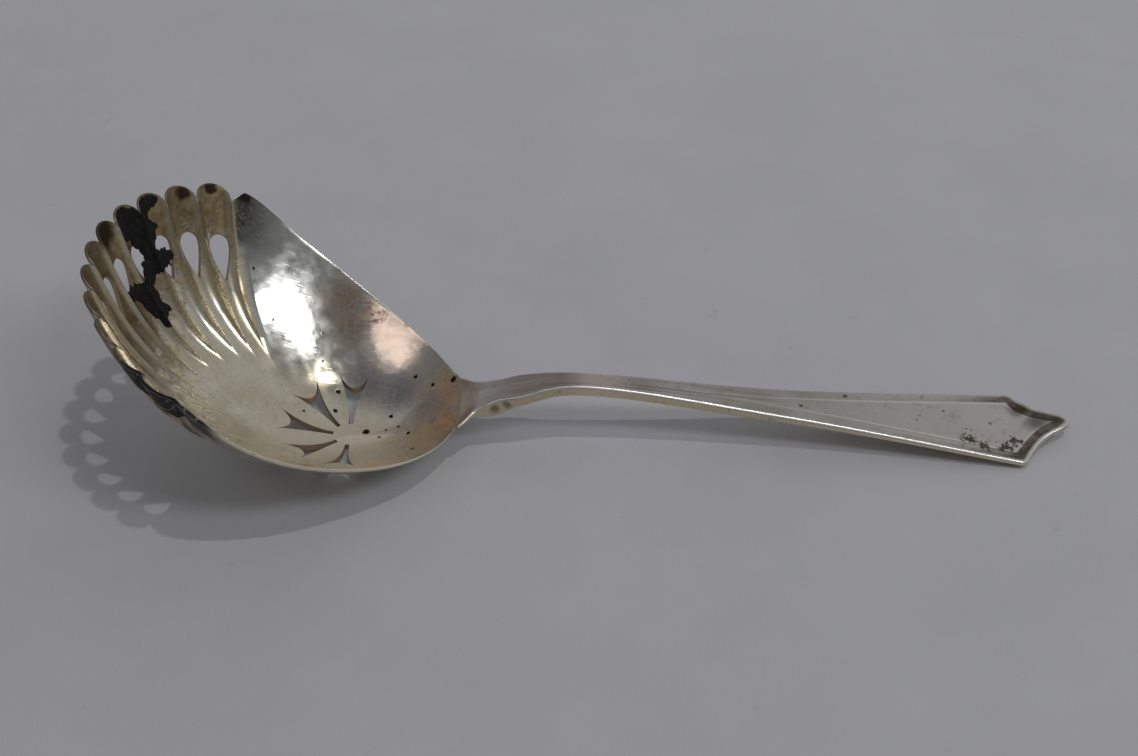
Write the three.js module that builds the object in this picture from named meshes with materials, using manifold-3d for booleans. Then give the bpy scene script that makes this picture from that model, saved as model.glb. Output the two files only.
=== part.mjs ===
// A small pierced ladle: a pressed bowl with a fluted fan of lobes, soldered to a die-struck handle.
// Millimetres, +Z up. The origin is the point of the bowl that rests on the table, the handle runs along +X.
import * as THREE from 'three';
import { mergeVertices } from 'three/addons/utils/BufferGeometryUtils.js';
import Module from 'manifold-3d';

const wasm = await Module();
wasm.setup();

// Bowl: pressed sheet. Its rim plane is tipped up toward the lobes.
// Seen square to that plane, it is a circle drawn out to the neck.
const wall = 1.0;
const restFlatDepth = 0.12; // how far the floor is worn flat where it rests
const bowlTip = THREE.MathUtils.degToRad(30.8);
const bowlDepth = 17.4;
const bowlRadius = 26.9;
const neckReach = 36.1; // from the circle's centre to the neck's end, in the rim plane
const neckTaper = 9.5; // the higher, the narrower the neck
const neckEndX = 17.5;
const tipFullness = 1.87; // power of the bowl's profile: the higher, the flatter the floor
const neckFullness = 4.1;
const fullnessPower = 7; // the higher, the closer to the neck the profile turns full
const rimDip = 3.2; // how far the plain rims sag under the rim plane
const neckLift = 1.9; // how far the neck sweeps up into the handle
const neckLiftSide = 90; // the higher, the narrower that sweep
const neckLiftRun = 12; // and the shorter

// Fan of lobes at the tip, measured to the valleys between the lobes
const lobeCount = 11;
const lobePitch = THREE.MathUtils.degToRad(12.9);
const valleyRadius = 25.4;
const valleyRadiusEnd = 26.9; // at the fan's ends
const lobeRise = 2.1;
const fluteDepth = 0.9;
const ribSharpness = 2.5; // the higher, the narrower the ribs between the lobes
const ribShare = 0.5; // part of the flutes' depth that stands in from the smooth bowl
const fluteStart = 0.44; // share of the way from the hub to the rim where the flutes fade in
const fluteFull = 0.76;
const fluteBow = 0.05; // how far the outermost flutes curve sideways, over their length
const lobeHoleWidth = 3.5;
const lobeHoleLength = 7.8;
const lobeHoleDrop = 5.5; // from the lobe's top to the hole
const lobeHoleDropEnd = 7.5; // the same on the outermost lobes
const cornerGap = THREE.MathUtils.degToRad(5.2); // from the last valley to the corner of the plain rim
const cornerRise = 1.6;
const cornerFade = THREE.MathUtils.degToRad(26);

// Joint between bowl and handle
const jointX = 16.5;

// Half flower of slots in the floor
const hubRun = 13.5; // from the neck's end to the flower's hub, in the rim plane
const slotCount = 5;
const slotStep = THREE.MathUtils.degToRad(45);
const slotInner = 2.5;
const slotOuter = 11.1;
const slotRoot = 0.35; // half width at the inner end
const slotHalf = 2.5; // half width across the horns
const slotTongue = 1.9; // how far the tongue between the horns reaches in

// Solder film between bowl and handle
const seamWidth = 0.4;
const seamProud = 0.15;

// Handle: runs along the axis, half widths, heights of the upper edges, thicknesses
const throatRun = 5.6;
const shoulderRun = 4.2;
const crestRun = 8.0;
const midRun = 34.0;
const flareRun = 37.4;
const tipRun = 7.8;
const throatHalf = 2.95;
const shoulderHalf = 3.0;
const stemHalf = 2.05;
const midHalf = 3.65;
const flareHalf = 8.45;
const tipHalf = 2.25;
const tipRound = 2.3; // length of the blunt end
const tipBlunt = 0.53; // the higher, the squarer that end
const throatHeight = 10.2;
const shoulderHeight = 11.2;
const crestHeight = 12.4;
const midHeight = 7.1;
const tipHeight = 3.0;
const throatThickness = 3.0;
const stemThickness = 2.7;
const endThickness = 1.4;
const endHeight = endThickness; // the end lies on the table
const edgeShare = 0.62; // edge thickness of the round-backed stem over its middle
const edgeRound = 0.3; // part of the edge's thickness that is rounded under
const edgeTuck = 0.93; // share of the half width where that rounding meets the back
const shoulderPull = 0.28; // where the end's concave shoulders are drawn in, over the tip's length
const shoulderWaist = 1.67; // and how near the axis, over the tip's half width

// Double-thread border on the handle's face: distances in from the edge and heights over the panel
const beadInset = 0.28;
const beadInner = 0.55;
const coveInset = 1.3;
const threadOuter = 2.2;
const threadInset = 2.5;
const threadInner = 2.8;
const beadHeight = 0.2;
const coveDepth = 0.22;
const threadHeight = 0.16;
const borderFull = 4.0; // half width at which the border has its full spread
const borderStep = 0.12; // least spacing of the border's lines over the half width

// Mesh density
const lobeSteps = 6;
const sideSteps = 16;
const shellShares = [0.1, 0.22, 0.34, 0.45, 0.55, 0.64, 0.73, 0.81, 0.88, 0.94, 1];
const handleSteps = 34;
const tipSteps = 9;
const arcSteps = 5;
const searchSteps = 200;
const probe = 0.02; // small share of a column, for reading directions off the surface

const { lerp, smoothstep } = THREE.MathUtils;
const plainStart = (lobeCount / 2) * lobePitch + cornerGap; // angle from the tip where the plain rim starts

// Solids

function toSolid(geometry) {
  geometry.deleteAttribute('normal');
  geometry.deleteAttribute('uv');
  const merged = mergeVertices(geometry, 1e-5);
  return new wasm.Manifold(new wasm.Mesh({
    numProp: 3,
    vertProperties: new Float32Array(merged.attributes.position.array),
    triVerts: new Uint32Array(merged.index.array),
  }));
}

function toGeometry(solid) {
  const mesh = solid.getMesh();
  const geometry = new THREE.BufferGeometry();
  geometry.setAttribute('position', new THREE.BufferAttribute(new Float32Array(mesh.vertProperties), 3));
  geometry.setIndex(new THREE.BufferAttribute(new Uint32Array(mesh.triVerts), 1));
  return geometry;
}

function closedGeometry(points, triangles) {
  const geometry = new THREE.BufferGeometry();
  geometry.setAttribute('position', new THREE.Float32BufferAttribute(points.flatMap((p) => p.toArray()), 3));
  geometry.setIndex(triangles);
  return geometry;
}

// Joins sections of equal point counts into a closed loft with flat ends.
function loft(sections) {
  const count = sections[0].length;
  const triangles = [];
  for (let i = 0; i + 1 < sections.length; i += 1) {
    for (let j = 0; j < count; j += 1) {
      const a = i * count + j;
      const b = i * count + ((j + 1) % count);
      triangles.push(a, b, a + count, b, b + count, a + count);
    }
  }
  const last = (sections.length - 1) * count;
  const ends = THREE.ShapeUtils.triangulateShape(sections[0].map((p) => new THREE.Vector2(p.y, p.z)), []);
  const tail = THREE.ShapeUtils.triangulateShape(sections.at(-1).map((p) => new THREE.Vector2(p.y, p.z)), []);
  ends.forEach(([a, b, c]) => triangles.push(a, c, b));
  tail.forEach(([a, b, c]) => triangles.push(last + a, last + b, last + c));
  return closedGeometry(sections.flat(), triangles);
}

// Bowl

// Plain outline of the bowl in its rim plane: distance from the circle's centre, at an angle from the tip.
function outlineRadius(angle) {
  return bowlRadius + (neckReach - bowlRadius) * ((1 - Math.cos(angle)) / 2) ** neckTaper;
}

function rimDepth(angle) {
  const share = (Math.abs(angle) - plainStart) / (Math.PI - plainStart);
  return share > 0 ? rimDip * Math.sin(Math.PI * share) : 0;
}

// Depth of the smooth bowl under its rim plane; q runs from the neck's end to the tip.
function depthAt({ x: q, y }) {
  const angle = Math.atan2(y, q - neckReach);
  const out = Math.hypot(q - neckReach, y) / outlineRadius(angle);
  const towardNeck = (1 - Math.cos(angle)) / 2;
  const fullness = lerp(tipFullness, neckFullness, towardNeck ** fullnessPower);
  const sweep = neckLift * towardNeck ** neckLiftSide * out ** neckLiftRun;
  return bowlDepth - (bowlDepth - rimDepth(angle)) * out ** fullness - sweep;
}

function untipped(plan) {
  const depth = depthAt(plan);
  const x = neckEndX - plan.x * Math.cos(bowlTip) - depth * Math.sin(bowlTip);
  return new THREE.Vector3(x, plan.y, plan.x * Math.sin(bowlTip) - depth * Math.cos(bowlTip));
}

// Lowest point of the inside, looked for along the middle of the bowl.
function lowestRun() {
  let best = 0;
  for (let q = 0; q < neckReach; q += neckReach / searchSteps) {
    best = untipped(new THREE.Vector2(q, 0)).z < untipped(new THREE.Vector2(best, 0)).z ? q : best;
  }
  return best;
}

const floorHeight = wall - restFlatDepth - untipped(new THREE.Vector2(lowestRun(), 0)).z;

function bowlSurface(plan) {
  const point = untipped(plan);
  return point.setZ(point.z + floorHeight);
}

function planAt(angle, radius) {
  return new THREE.Vector2(neckReach + radius * Math.cos(angle), radius * Math.sin(angle));
}

// Line of the valleys, at a place counted in lobes from the middle of the fan.
function valleyAt(place) {
  const radius = lerp(valleyRadius, valleyRadiusEnd, (place / (lobeCount / 2)) ** 2);
  return planAt(place * lobePitch, radius);
}

// Columns of the shell: where each meets the rim, where it lies across its lobe and how far it rises.
function bowlColumns() {
  const half = [];
  const fanSteps = (lobeCount * lobeSteps) / 2;
  for (let i = 0; i <= fanSteps; i += 1) {
    const across = (((i / lobeSteps + 0.5) % 1) - 0.5) * 2;
    half.push({ rim: valleyAt(i / lobeSteps), across, rise: lobeRise * Math.sqrt(1 - across ** 2) });
  }
  for (let i = 0; i <= sideSteps; i += 1) {
    const angle = lerp(plainStart, Math.PI, i / sideSteps);
    const rise = cornerRise * (1 - smoothstep(angle, plainStart, plainStart + cornerFade));
    half.push({ rim: planAt(angle, outlineRadius(angle)), across: null, rise });
  }
  const mirrored = half.slice(1, -1).reverse().map((column) => ({
    ...column,
    rim: new THREE.Vector2(column.rim.x, -column.rim.y),
  }));
  return [...half, ...mirrored];
}

// Sideways bow of the column that ends at a place on the rim: none in the middle of the fan and at the neck.
function columnBow(rim) {
  const angle = Math.abs(Math.atan2(rim.y, rim.x - neckReach));
  const fade = angle < plainStart ? (angle / plainStart) ** 3 : 1 - smoothstep(angle, plainStart, Math.PI);
  return fluteBow * fade * Math.sign(rim.y);
}

// Point of the smooth bowl in a column, at a share of the way from the hub of the slots to the rim.
function bowlPoint(rim, share) {
  const run = rim.x - hubRun;
  const bow = columnBow(rim) * 4 * share * (1 - share);
  return bowlSurface(new THREE.Vector2(hubRun + run * share + rim.y * bow, rim.y * share - run * bow));
}

function columnLength(rim) {
  return bowlPoint(rim, 1).distanceTo(bowlPoint(rim, fluteFull)) / (1 - fluteFull);
}

// Ribs stand up inside the bowl between the lobes, and the lobes hollow out between them.
function fluteLift(across, share) {
  if (across === null) {
    return 0;
  }
  const profile = Math.abs(across) ** ribSharpness - 1 + ribShare;
  return fluteDepth * smoothstep(share, fluteStart, fluteFull) * profile;
}

function bowlShell() {
  const columns = bowlColumns();
  const count = columns.length;
  const rows = shellShares.map((share) => columns.map(({ rim, rise }) => {
    const grown = share * (1 + (rise / columnLength(rim)) * smoothstep(share, fluteStart, 1));
    return { share, point: bowlPoint(rim, grown) };
  }));
  const pole = bowlPoint(columns[0].rim, 0);
  const inner = [pole];
  const outer = [pole.clone().setZ(0)];
  rows.forEach((row, i) => row.forEach(({ share, point }, j) => {
    const below = i ? rows[i - 1][j].point : pole;
    const above = i + 1 < rows.length ? rows[i + 1][j].point : point;
    const left = row[(j + count - 1) % count].point;
    const right = row[(j + 1) % count].point;
    const inward = right.clone().sub(left).cross(above.clone().sub(below)).normalize();
    const lift = fluteLift(columns[j].across, share);
    inner.push(point.clone().addScaledVector(inward, lift));
    const outside = point.clone().addScaledVector(inward, lift - wall);
    outer.push(outside.setZ(Math.max(outside.z, 0)));
  }));
  return closedGeometry([...inner, ...outer], shellTriangles(rows.length, count, inner.length));
}

// Inner and outer skins share their layout: a centre point, then rings out to the rim.
function shellTriangles(rowCount, count, outerStart) {
  const triangles = [];
  const quad = (a, b, c, d) => triangles.push(a, b, c, a, c, d);
  for (let j = 0; j < count; j += 1) {
    const k = (j + 1) % count;
    triangles.push(0, 1 + k, 1 + j);
    triangles.push(outerStart, outerStart + 1 + j, outerStart + 1 + k);
    for (let i = 0; i + 1 < rowCount; i += 1) {
      const near = 1 + i * count;
      const far = near + count;
      quad(near + j, near + k, far + k, far + j);
      quad(outerStart + near + k, outerStart + near + j, outerStart + far + j, outerStart + far + k);
    }
    const rim = 1 + (rowCount - 1) * count;
    quad(rim + j, rim + k, outerStart + rim + k, outerStart + rim + j);
  }
  return triangles;
}

// Drop-shaped hole, round end up, with its round end's top at the origin.
function dropShape() {
  const radius = lobeHoleWidth / 2;
  const shape = new THREE.Shape();
  shape.moveTo(0, -lobeHoleLength);
  shape.quadraticCurveTo(radius, -lobeHoleLength / 2, radius, -radius);
  shape.absarc(0, -radius, radius, 0, Math.PI, false);
  shape.quadraticCurveTo(-radius, -lobeHoleLength / 2, 0, -lobeHoleLength);
  return shape;
}

function lobeHole(index) {
  const place = index - (lobeCount - 1) / 2;
  const rim = valleyAt(place);
  const drop = lerp(lobeHoleDrop, lobeHoleDropEnd, (place / ((lobeCount - 1) / 2)) ** 2);
  const share = 1 + (lobeRise - drop - lobeHoleLength / 2) / columnLength(rim);
  const middle = bowlPoint(rim, share);
  const upWall = bowlPoint(rim, share + probe).sub(middle).normalize();
  const across = bowlPoint(valleyAt(place + probe), share).sub(middle);
  const through = across.cross(upWall).normalize();
  const along = upWall.clone().cross(through);
  const reach = wall * 4;
  const cutter = new THREE.ExtrudeGeometry(dropShape(), {
    depth: reach * 2,
    bevelEnabled: false,
    curveSegments: arcSteps,
  });
  cutter.translate(0, lobeHoleLength / 2, -reach);
  cutter.applyMatrix4(new THREE.Matrix4().makeBasis(along, upWall, through).setPosition(middle));
  return toSolid(cutter);
}

// Slot of the half flower: narrow at the hub, two horns at its outer end and a tongue of metal between them.
function slotShape() {
  const middle = (slotInner + slotOuter) / 2;
  const shape = new THREE.Shape();
  shape.moveTo(slotInner, -slotRoot);
  shape.quadraticCurveTo(middle, -slotRoot, slotOuter, -slotHalf);
  shape.quadraticCurveTo(slotOuter - slotTongue * 2, 0, slotOuter, slotHalf);
  shape.quadraticCurveTo(middle, slotRoot, slotInner, slotRoot);
  return shape;
}

function floorSlot(index) {
  const angle = Math.PI + (index - (slotCount - 1) / 2) * slotStep;
  const cutter = new THREE.ExtrudeGeometry(slotShape(), {
    depth: bowlDepth,
    bevelEnabled: false,
    curveSegments: arcSteps,
  });
  const hubX = bowlSurface(new THREE.Vector2(hubRun, 0)).x;
  cutter.applyMatrix4(new THREE.Matrix4().makeRotationZ(angle).setPosition(hubX, 0, -wall));
  return toSolid(cutter);
}

function bowlGeometry() {
  let bowl = toSolid(bowlShell());
  const beyondJoint = new THREE.BoxGeometry(bowlRadius, bowlRadius * 2, bowlRadius * 2);
  beyondJoint.translate(jointX + bowlRadius / 2, 0, 0);
  bowl = bowl.subtract(toSolid(beyondJoint));
  for (let i = 0; i < lobeCount; i += 1) {
    bowl = bowl.subtract(lobeHole(i));
  }
  for (let i = 0; i < slotCount; i += 1) {
    bowl = bowl.subtract(floorSlot(i));
  }
  return toGeometry(bowl);
}

// Halves the span until the bowl's surface meets the joint's plane; place gives the plan point at a value.
function whereJointMeets(place, inside, beyond) {
  let [low, high] = [inside, beyond];
  for (let i = 0; i < searchSteps; i += 1) {
    const middle = (low + high) / 2;
    [low, high] = bowlSurface(place(middle)).x < jointX ? [middle, high] : [low, middle];
  }
  return bowlSurface(place(low));
}

// Neck's section at the joint, which the handle's foot and the solder film carry on.
const neckEdge = whereJointMeets((angle) => planAt(angle, outlineRadius(angle)), plainStart, Math.PI);
const neckMiddle = whereJointMeets((q) => new THREE.Vector2(q, 0), hubRun, 0);
const neckDish = neckEdge.z - neckMiddle.z;
const neckBefore = bowlPoint(new THREE.Vector2(0, 0), 1 - probe).sub(bowlPoint(new THREE.Vector2(0, 0), 1));
const footThickness = (wall * neckBefore.length()) / Math.abs(neckBefore.x);

// Handle

// Places along the handle
const seamX = jointX + seamWidth;
const throatX = seamX + throatRun;
const shoulderX = throatX + shoulderRun;
const crestX = shoulderX + crestRun;
const midX = crestX + midRun;
const flareX = midX + flareRun;
const tipX = flareX + tipRun;

function handleStations() {
  const line = (x, half, height) => new THREE.Vector3(x, half, height);
  const neck = [line(seamX, neckEdge.y, neckEdge.z), line(throatX, throatHalf, throatHeight)];
  const stem = [line(shoulderX, shoulderHalf, shoulderHeight), line(crestX, stemHalf, crestHeight)];
  const end = [line(midX, midHalf, midHeight), line(flareX, flareHalf, endHeight)];
  return new THREE.CatmullRomCurve3([...neck, ...stem, ...end], false, 'centripetal');
}

function thicknessAt(x) {
  const xs = [seamX, throatX, crestX, flareX, tipX];
  const sizes = [footThickness, throatThickness, stemThickness, endThickness, endThickness];
  const i = Math.max(0, xs.findIndex((place, k) => k + 1 < xs.length && x <= xs[k + 1]));
  return lerp(sizes[i], sizes[i + 1], smoothstep(x, xs[i], xs[i + 1]));
}

// Half of a section's upper face and back, from the middle out to the edge and back in.
function halfSection({ x, half, height }) {
  const thick = thicknessAt(x);
  const dish = neckDish * (1 - smoothstep(x, seamX, throatX));
  const struck = smoothstep(x, throatX, shoulderX);
  const spread = Math.min(1, half / borderFull);
  const insets = [threadInner, threadInset, threadOuter, coveInset, beadInner, beadInset];
  const rises = [0, threadHeight, 0, -coveDepth, 0, beadHeight];
  const face = (y) => height - dish * (1 - (y / half) ** 2);
  const edge = thick * lerp(1, edgeShare, struck);
  const back = (y) => face(y) - lerp(edge, thick, 1 - (y / half) ** 2);
  const upper = insets.map((inset, i) => {
    const y = Math.max(half - inset * spread, half * borderStep * (i + 1));
    return [y, face(y) + rises[i] * struck * spread];
  });
  const under = half * edgeTuck;
  const side = [[half, face(half)], [half, back(half) + edge * edgeRound], [under, back(under)]];
  return { middle: [0, face(0)], upper, side, low: [[half / 2, back(half / 2)]], base: [0, back(0)] };
}

function handleSection(station) {
  const { middle, upper, side, low, base } = halfSection(station);
  const right = [...upper, ...side, ...low];
  const ring = [middle, ...right, base, ...right.slice().reverse().map(([y, z]) => [-y, z])];
  return ring.reverse().map(([y, z]) => new THREE.Vector3(station.x, y, z));
}

// Shield end: concave shoulders run in from the flare's corners to a small blunt tip.
function tipStations() {
  const shoulder = new THREE.QuadraticBezierCurve(
    new THREE.Vector2(flareX, flareHalf),
    new THREE.Vector2(flareX + tipRun * shoulderPull, tipHalf * shoulderWaist),
    new THREE.Vector2(tipX - tipRound, tipHalf),
  );
  const end = new THREE.QuadraticBezierCurve(
    new THREE.Vector2(tipX - tipRound, tipHalf),
    new THREE.Vector2(tipX, tipHalf * tipBlunt),
    new THREE.Vector2(tipX, 0),
  );
  const outline = [...shoulder.getPoints(tipSteps).slice(1), ...end.getPoints(arcSteps).slice(1, -1)];
  return outline.map(({ x, y }) => {
    const lift = Math.sin(((x - flareX) / tipRun) * (Math.PI / 2));
    return { x, half: y, height: lerp(endHeight, tipHeight, lift) };
  });
}

function handleGeometry() {
  const line = handleStations().getPoints(handleSteps);
  const stations = line.map(({ x, y, z }) => ({ x, half: y, height: z }));
  return loft([...stations, ...tipStations()].map(handleSection));
}

// Solder film: the foot's outline, a little proud all round.
function seamGeometry() {
  const foot = handleSection({ x: seamX, half: neckEdge.y, height: neckEdge.z });
  const centre = new THREE.Vector3(0, 0, neckEdge.z - neckDish / 2 - footThickness / 2);
  const grow = (p, x) => {
    const out = p.clone().setX(0).sub(centre);
    const wider = p.y + Math.sign(p.y) * seamProud * Math.min(1, Math.abs(p.y) / footThickness);
    return new THREE.Vector3(x, wider, p.z + Math.sign(out.z) * seamProud);
  };
  return loft([jointX, seamX].map((x) => foot.map((p) => grow(p, x))));
}

function node(name, geometry, color, roughness) {
  const mesh = new THREE.Mesh(geometry, new THREE.MeshStandardMaterial({ color, roughness, metalness: 1 }));
  mesh.name = name;
  return mesh;
}

const ladle = new THREE.Group();
ladle.add(node('bowl', bowlGeometry(), 0xb9ae98, 0.34));
ladle.add(node('handle', handleGeometry(), 0xb7b5b0, 0.36));
ladle.add(node('solder_seam', seamGeometry(), 0xa9a294, 0.42));

export default ladle;
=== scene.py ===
import math
import bpy
import numpy as np
from mathutils import Matrix, Vector, noise


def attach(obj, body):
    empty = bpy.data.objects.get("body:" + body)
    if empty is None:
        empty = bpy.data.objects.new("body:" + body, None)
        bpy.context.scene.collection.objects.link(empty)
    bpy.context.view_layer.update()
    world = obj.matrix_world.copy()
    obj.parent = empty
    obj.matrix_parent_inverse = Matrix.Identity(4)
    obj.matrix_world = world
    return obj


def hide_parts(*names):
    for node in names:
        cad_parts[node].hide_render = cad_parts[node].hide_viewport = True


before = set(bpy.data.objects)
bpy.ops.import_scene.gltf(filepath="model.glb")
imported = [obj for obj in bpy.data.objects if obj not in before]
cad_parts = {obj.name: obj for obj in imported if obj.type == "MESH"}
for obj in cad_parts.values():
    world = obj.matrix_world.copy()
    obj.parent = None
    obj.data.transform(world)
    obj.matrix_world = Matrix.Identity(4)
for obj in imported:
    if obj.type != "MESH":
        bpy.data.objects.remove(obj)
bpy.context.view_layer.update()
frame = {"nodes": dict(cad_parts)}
mm = 0.001  # sizes below are in millimetres, meshes in metres
print("frame loaded:", ", ".join(frame["nodes"]))

# Bowl: a pressed sheet whose rim plane is tipped up toward the lobes
bowl = {
    "wall": 1.0,
    "restFlat": 0.12,  # how far the floor is worn flat
    "tip": math.radians(30.8),
    "depth": 17.4,
    "radius": 26.9,
    "neckReach": 36.1,  # from the circle's centre to the neck's end
    "neckTaper": 9.5,
    "neckEndX": 17.5,
    "tipFullness": 1.87,
    "neckFullness": 4.1,
    "fullnessPower": 7,
    "rimDip": 3.2,
    "neckLift": 1.9,  # how far the neck sweeps up into the handle
    "neckLiftSide": 90,
    "neckLiftRun": 12,
    "rimRound": 0.24,  # crown of the rim's edge
    "rimThinning": 0.5,  # how much thinner the sheet is at the rim
    "neckThinning": 0.88,  # and where the rim meets the handle
    "cornerLift": 0.22,  # softens the corner where the rim meets the handle
    "cornerLiftRun": 1.3,
    "cornerLiftSide": (2, 6),  # from and to, out from the middle plane
    "thinFrom": 0.6,  # share of the way up where the sheet starts to thin
    "neckThin": (2.5, 2.95),  # angles from the tip, in radians, over which the rim thins toward the neck
    "jointFull": (2.97, 3.1),  # over which it is full again
    "crownEnd": (2.6, 2.95),  # and over which its crown runs out
    "crownSteps": (0.03, 0.15, 0.32, 0.5, 0.68, 0.85, 0.97),  # shares of the way over the rim
    "jointX": 16.5,
    "hubRun": 13.5,
    "rows": 64,
    "rowPower": 0.85,  # bunches the rows toward the rim
    "sideColumns": 64,
    "samples": 4000,  # along a line that is searched
    "smoothAngle": 40,
}

# Fan of fluted lobes at the tip
fan = {
    "lobes": 11,
    "pitch": math.radians(12.9),
    "valleyRadius": 25.4,
    "valleyRadiusEnd": 26.9,
    "lobeRise": 2.1,
    "fluteDepth": 0.9,
    "ribSharpness": 2.5,
    "ribShare": 0.5,
    "beadHeight": 0.16,  # thin bead along each rib
    "beadWidth": 0.13,
    "fluteStart": 0.44,
    "fluteFull": 0.76,
    "bow": 0.05,  # sideways curve of the outermost flutes over their length
    "cornerGap": math.radians(5.2),
    "cornerRise": 1.6,
    "cornerFade": math.radians(26),
    "columnsPerLobe": 20,
    "holeWidth": 3.5,
    "holeLength": 7.8,
    "holeDrop": 5.5,
    "holeDropEnd": 7.5,
    "holeSideSteps": 14,
    "holeRoundSteps": 24,
    "cutReach": 4,  # of a hole's cutter to both sides, in walls
}

# Half flower of slots in the floor
flower = {
    "slots": 5,
    "step": math.radians(45),
    "inner": 2.5,
    "outer": 11.1,
    "root": 0.35,
    "half": 2.5,
    "tongue": 1.9,
    "sideSteps": 12,
}


def smoothstep(value, low, high):
    share = np.clip((value - low) / (high - low), 0, 1)
    return share * share * (3 - 2 * share)


def unit(vectors):
    return vectors / np.linalg.norm(vectors, axis=-1, keepdims=True)


def linear(hexColor):  # sRGB hex to linear RGBA
    parts = [int(hexColor[i:i + 2], 16) / 255 for i in (1, 3, 5)]
    return [p / 12.92 if p <= 0.04045 else ((p + 0.055) / 1.055) ** 2.4 for p in parts] + [1.0]


def linked(name, data):  # object in the scene
    made = bpy.data.objects.new(name, data)
    bpy.context.collection.objects.link(made)
    return made


def meshObject(name, points, faces, uvs=None):
    mesh = bpy.data.meshes.new(name)
    mesh.from_pydata((np.asarray(points) * mm).tolist(), [], faces)
    if uvs is not None:
        layer = mesh.uv_layers.new(name="way")
        layer.data.foreach_set("uv", np.asarray(uvs, dtype=np.float32).ravel())
    mesh.update()
    return linked(name, mesh)


def finished(made, degrees, material=None):  # smooth shading up to an angle, and a material
    mesh = made.data
    mesh.polygons.foreach_set("use_smooth", [True] * len(mesh.polygons))
    mesh.set_sharp_from_angle(angle=math.radians(degrees))
    if material:
        mesh.materials.append(material)
    print(made.name + ":", len(mesh.polygons), "faces")
    return made


plainStart = fan["lobes"] / 2 * fan["pitch"] + fan["cornerGap"]  # where the plain rim starts


def outlineRadius(angle):
    towardNeck = (1 - np.cos(angle)) / 2
    return bowl["radius"] + (bowl["neckReach"] - bowl["radius"]) * towardNeck ** bowl["neckTaper"]


def rimDepth(angle):
    share = (np.abs(angle) - plainStart) / (math.pi - plainStart)
    return bowl["rimDip"] * np.sin(math.pi * np.clip(share, 0, 1))


def tipped(q, y):  # q runs from the neck's end to the tip, in the rim plane
    angle = np.arctan2(y, q - bowl["neckReach"])
    out = np.hypot(q - bowl["neckReach"], y) / outlineRadius(angle)
    towardNeck = (1 - np.cos(angle)) / 2
    spread = bowl["neckFullness"] - bowl["tipFullness"]
    fullness = bowl["tipFullness"] + spread * towardNeck ** bowl["fullnessPower"]
    sweep = bowl["neckLift"] * towardNeck ** bowl["neckLiftSide"] * out ** bowl["neckLiftRun"]
    depth = bowl["depth"] - (bowl["depth"] - rimDepth(angle)) * out ** fullness - sweep
    c, s = math.cos(bowl["tip"]), math.sin(bowl["tip"])
    x = bowl["neckEndX"] - q * c - depth * s
    near = np.exp(-(((x - bowl["jointX"]) / bowl["cornerLiftRun"]) ** 2))
    lift = bowl["cornerLift"] * near * smoothstep(np.abs(y), *bowl["cornerLiftSide"])
    return np.stack([x, y, q * s - depth * c + lift], -1)


middleLine = np.linspace(0, bowl["neckReach"], bowl["samples"] // 2)
floorHeight = bowl["wall"] - bowl["restFlat"] - tipped(middleLine, 0 * middleLine)[:, 2].min()


def bowlSurface(q, y):
    return tipped(np.asarray(q, float), np.asarray(y, float)) + [0, 0, floorHeight]


def planAt(angle, radius):
    return bowl["neckReach"] + radius * np.cos(angle), radius * np.sin(angle)


def valleyAt(place):  # line of the valleys, counted in lobes from the middle of the fan
    bend = (np.asarray(place, float) / (fan["lobes"] / 2)) ** 2
    radius = fan["valleyRadius"] + (fan["valleyRadiusEnd"] - fan["valleyRadius"]) * bend
    return planAt(place * fan["pitch"], radius)


def columnPoint(rim, share):  # along a column from the slots' hub to the rim, bowed toward the fan's ends
    angle = np.abs(np.arctan2(rim[1], rim[0] - bowl["neckReach"]))
    fade = np.where(angle < plainStart, (angle / plainStart) ** 3, 1 - smoothstep(angle, plainStart, math.pi))
    bow = fan["bow"] * fade * np.sign(rim[1]) * 4 * share * (1 - share)
    run = rim[0] - bowl["hubRun"]
    return bowlSurface(bowl["hubRun"] + run * share + rim[1] * bow, rim[1] * share - run * bow)


def columnLength(rim):
    span = 1 - fan["fluteFull"]
    return np.linalg.norm(columnPoint(rim, 1.0) - columnPoint(rim, fan["fluteFull"]), axis=-1) / span


def acrossLobe(place):  # -1 to 1 from valley to valley
    return ((place + 0.5) % 1 - 0.5) * 2


def lobeEdge(across):  # how far a lobe's rounded edge stands past the line of the valleys
    return fan["lobeRise"] * np.sqrt(np.clip(1 - across ** 2, 0, 1))


def bowlColumns():  # rim plan, place in lobes, position across a lobe, in the fan or not, and rise
    half = fan["lobes"] / 2
    fanPlace = np.linspace(0, half, int(half * fan["columnsPerLobe"]) + 1)
    across = acrossLobe(fanPlace)
    across[-1] = 1.0
    angle = np.linspace(plainStart, math.pi, bowl["sideColumns"])
    fade = 1 - smoothstep(angle, plainStart, plainStart + fan["cornerFade"])
    lobes = (*valleyAt(fanPlace), fanPlace, across, np.ones(len(across)), lobeEdge(across))
    plan = planAt(angle, outlineRadius(angle))
    sides = (*plan, angle / fan["pitch"], 0 * angle, 0 * angle, fan["cornerRise"] * fade)
    signs = (1, -1, -1, 1, 1, 1)  # of each on the other half; the neck's last column is shared
    halves = (np.concatenate(pair) for pair in zip(lobes, sides))
    return [np.concatenate([sign * half[-2:0:-1], half]) for sign, half in zip(signs, halves)]


def fluteLift(across, inFan, share):  # ribs stand in between the lobes, with a thin bead along each
    fade = smoothstep(share, fan["fluteStart"], fan["fluteFull"])
    channel = fan["fluteDepth"] * (np.abs(across) ** fan["ribSharpness"] - 1 + fan["ribShare"])
    bead = fan["beadHeight"] * np.exp(-(((1 - np.abs(across)) / fan["beadWidth"]) ** 2))
    return inFan * fade * (channel + bead)


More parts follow.
